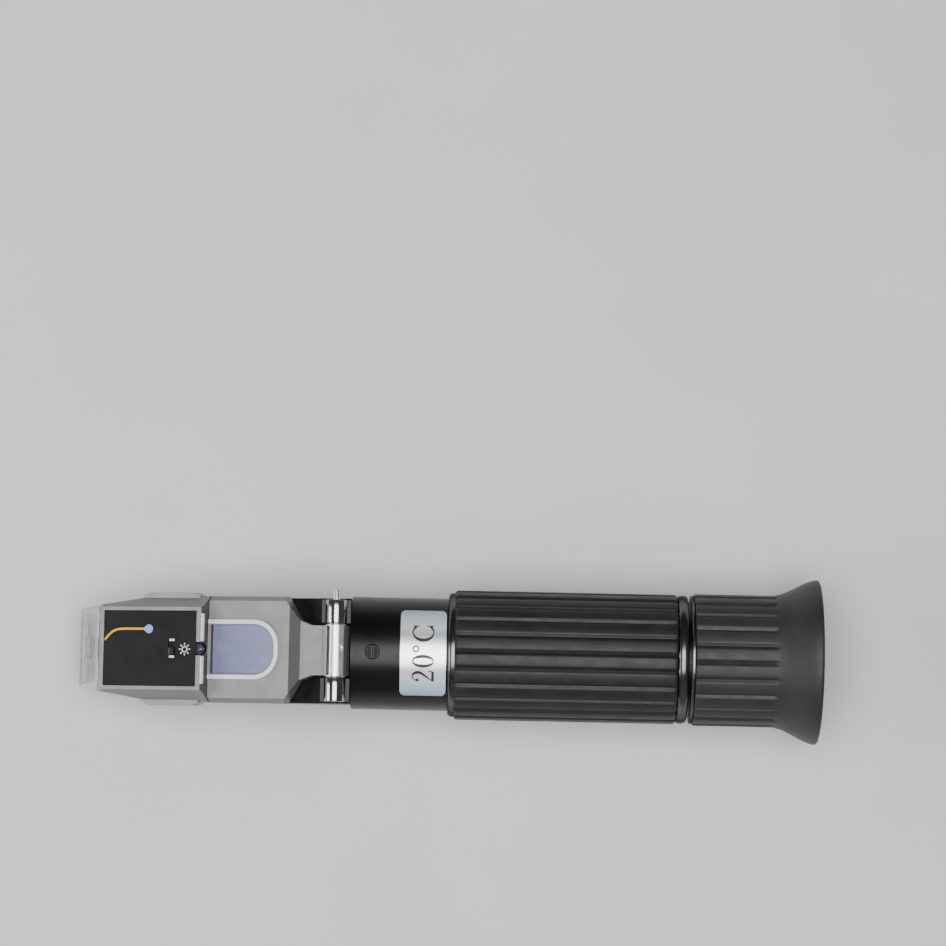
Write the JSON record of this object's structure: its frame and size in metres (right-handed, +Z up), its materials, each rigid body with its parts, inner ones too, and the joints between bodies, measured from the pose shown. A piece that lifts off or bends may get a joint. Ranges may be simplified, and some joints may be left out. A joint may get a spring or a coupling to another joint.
{
  "type": "handheld refractometer",
  "caption": "Handheld optical refractometer with a hinged, battery-lit daylight plate over its prism, calibration screw, rubber grip and focusing eyecup.",
  "frame": {"origin": "middle of the part's box at the height of its lowest point, the underside of the eyecup's rim", "axes": "+X along the optical axis towards the eye, +Y across, parallel to the hinge pin, +Z up out of the daylight plate's side"},
  "size_m": [0.178, 0.0396, 0.0396],
  "materials": {
    "barrel_paint": "satin black coating on aluminium",
    "collar_gloss": "polished black",
    "grip_rubber": "matt ribbed rubber",
    "eyecup_rubber": "matt soft rubber",
    "label_foil": "silver foil print with pale blue ends",
    "inner_black": "black anodised",
    "optical_glass": "polished",
    "prism_glass": "polished",
    "seal_rubber": "matt sealing compound",
    "hinge_chrome": "bright nickel plate",
    "screw_steel": "blackened steel",
    "spring_steel": "drawn",
    "bush_brass": "turned",
    "contact_brass": "stamped",
    "frosted_plastic": "frosted translucent polycarbonate",
    "clear_plastic": "clear polycarbonate",
    "window_violet": "clear acrylic over a violet-grey backing",
    "label_black": "printed film, satin",
    "switch_black": "moulded",
    "switch_body": "stamped can",
    "board_green": "solder mask",
    "led_epoxy": "clear cast epoxy",
    "cell_steel": "bright"
  },
  "bodies": {
    "root": {"barrel": "barrel_paint", "front_collar": "collar_gloss", "rear_collar": "collar_gloss", "grip": "grip_rubber", "compensation_label": "label_foil", "light_baffle": "inner_black", "reticle": "optical_glass", "reticle_holder": "inner_black", "reticle_retainer": "inner_black", "focus_key": "screw_steel", "prism_holder": "barrel_paint", "sole_plate": "barrel_paint", "prism": "prism_glass", "prism_seal": "seal_rubber", "holder_screws": "screw_steel", "hinge_tubes": "hinge_chrome", "hinge_pin": "hinge_chrome", "screw_bush": "screw_steel", "return_spring": "spring_steel"},
    "flap": {"daylight_plate": "frosted_plastic", "knuckle_sleeve": "hinge_chrome", "window_lens": "window_violet", "led_housing": "frosted_plastic", "label_plate": "label_black", "circuit_board": "board_green", "slide_switch": "switch_body", "led": "led_epoxy", "positive_contact": "contact_brass", "negative_contact": "contact_brass"},
    "switch": {"switch_knob": "switch_black"},
    "drawer": {"battery_drawer": "clear_plastic", "coin_cell": "cell_steel"},
    "focus_slider": {"lens_carriage": "inner_black", "lens_spacer": "inner_black", "lens_retainer": "inner_black", "field_lens": "optical_glass", "eye_lens": "optical_glass", "carriage_retainer": "collar_gloss"},
    "eyepiece": {"focus_ring": "collar_gloss", "eyecup": "eyecup_rubber"},
    "calibration_slider": {"calibration_carriage": "bush_brass", "bimetal_strip": "spring_steel", "strip_screws": "screw_steel", "objective_cell": "inner_black", "objective_lens": "optical_glass"},
    "calibration_knob": {"calibration_screw": "screw_steel"}
  },
  "joints": [
    {"name": "flap_hinge", "type": "hinge", "parent": "root", "child": "flap", "pos_m": [-0.0265, 0, 0.0338], "axis": [0, 1, 0], "range_deg": [0, 140]},
    {"name": "switch_slide", "type": "slide", "parent": "flap", "child": "switch", "axis": [0, 1, 0], "range_m": [0, 0.0013]},
    {"name": "drawer_slide", "type": "slide", "parent": "flap", "child": "drawer", "axis": [-0.9397, 0, -0.342], "range_m": [0, 0.017]},
    {"name": "focus_slide", "type": "slide", "parent": "root", "child": "focus_slider", "axis": [1, 0, 0], "range_m": [-0.00051, 0.00301]},
    {"name": "focus_turn", "type": "hinge", "parent": "focus_slider", "child": "eyepiece", "pos_m": [0.07, 0, 0.0198], "axis": [1, 0, 0], "range_deg": [-30, 180]},
    {"name": "calibration_slide", "type": "slide", "parent": "root", "child": "calibration_slider", "axis": [0, 0, 1], "range_m": [-0.00025, 0.00025], "deforming": ["return_spring"]},
    {"name": "calibration_turn", "type": "hinge", "parent": "calibration_slider", "child": "calibration_knob", "pos_m": [-0.0178, 0, 0.03], "axis": [0, 0, 1], "range_deg": [-181, 181]}
  ],
  "couplings": [
    {"joint": "focus_slide", "follows": "focus_turn", "m_per_rad": 0.00095493},
    {"joint": "calibration_turn", "follows": "calibration_slide", "rad_per_m": 12566}
  ]
}
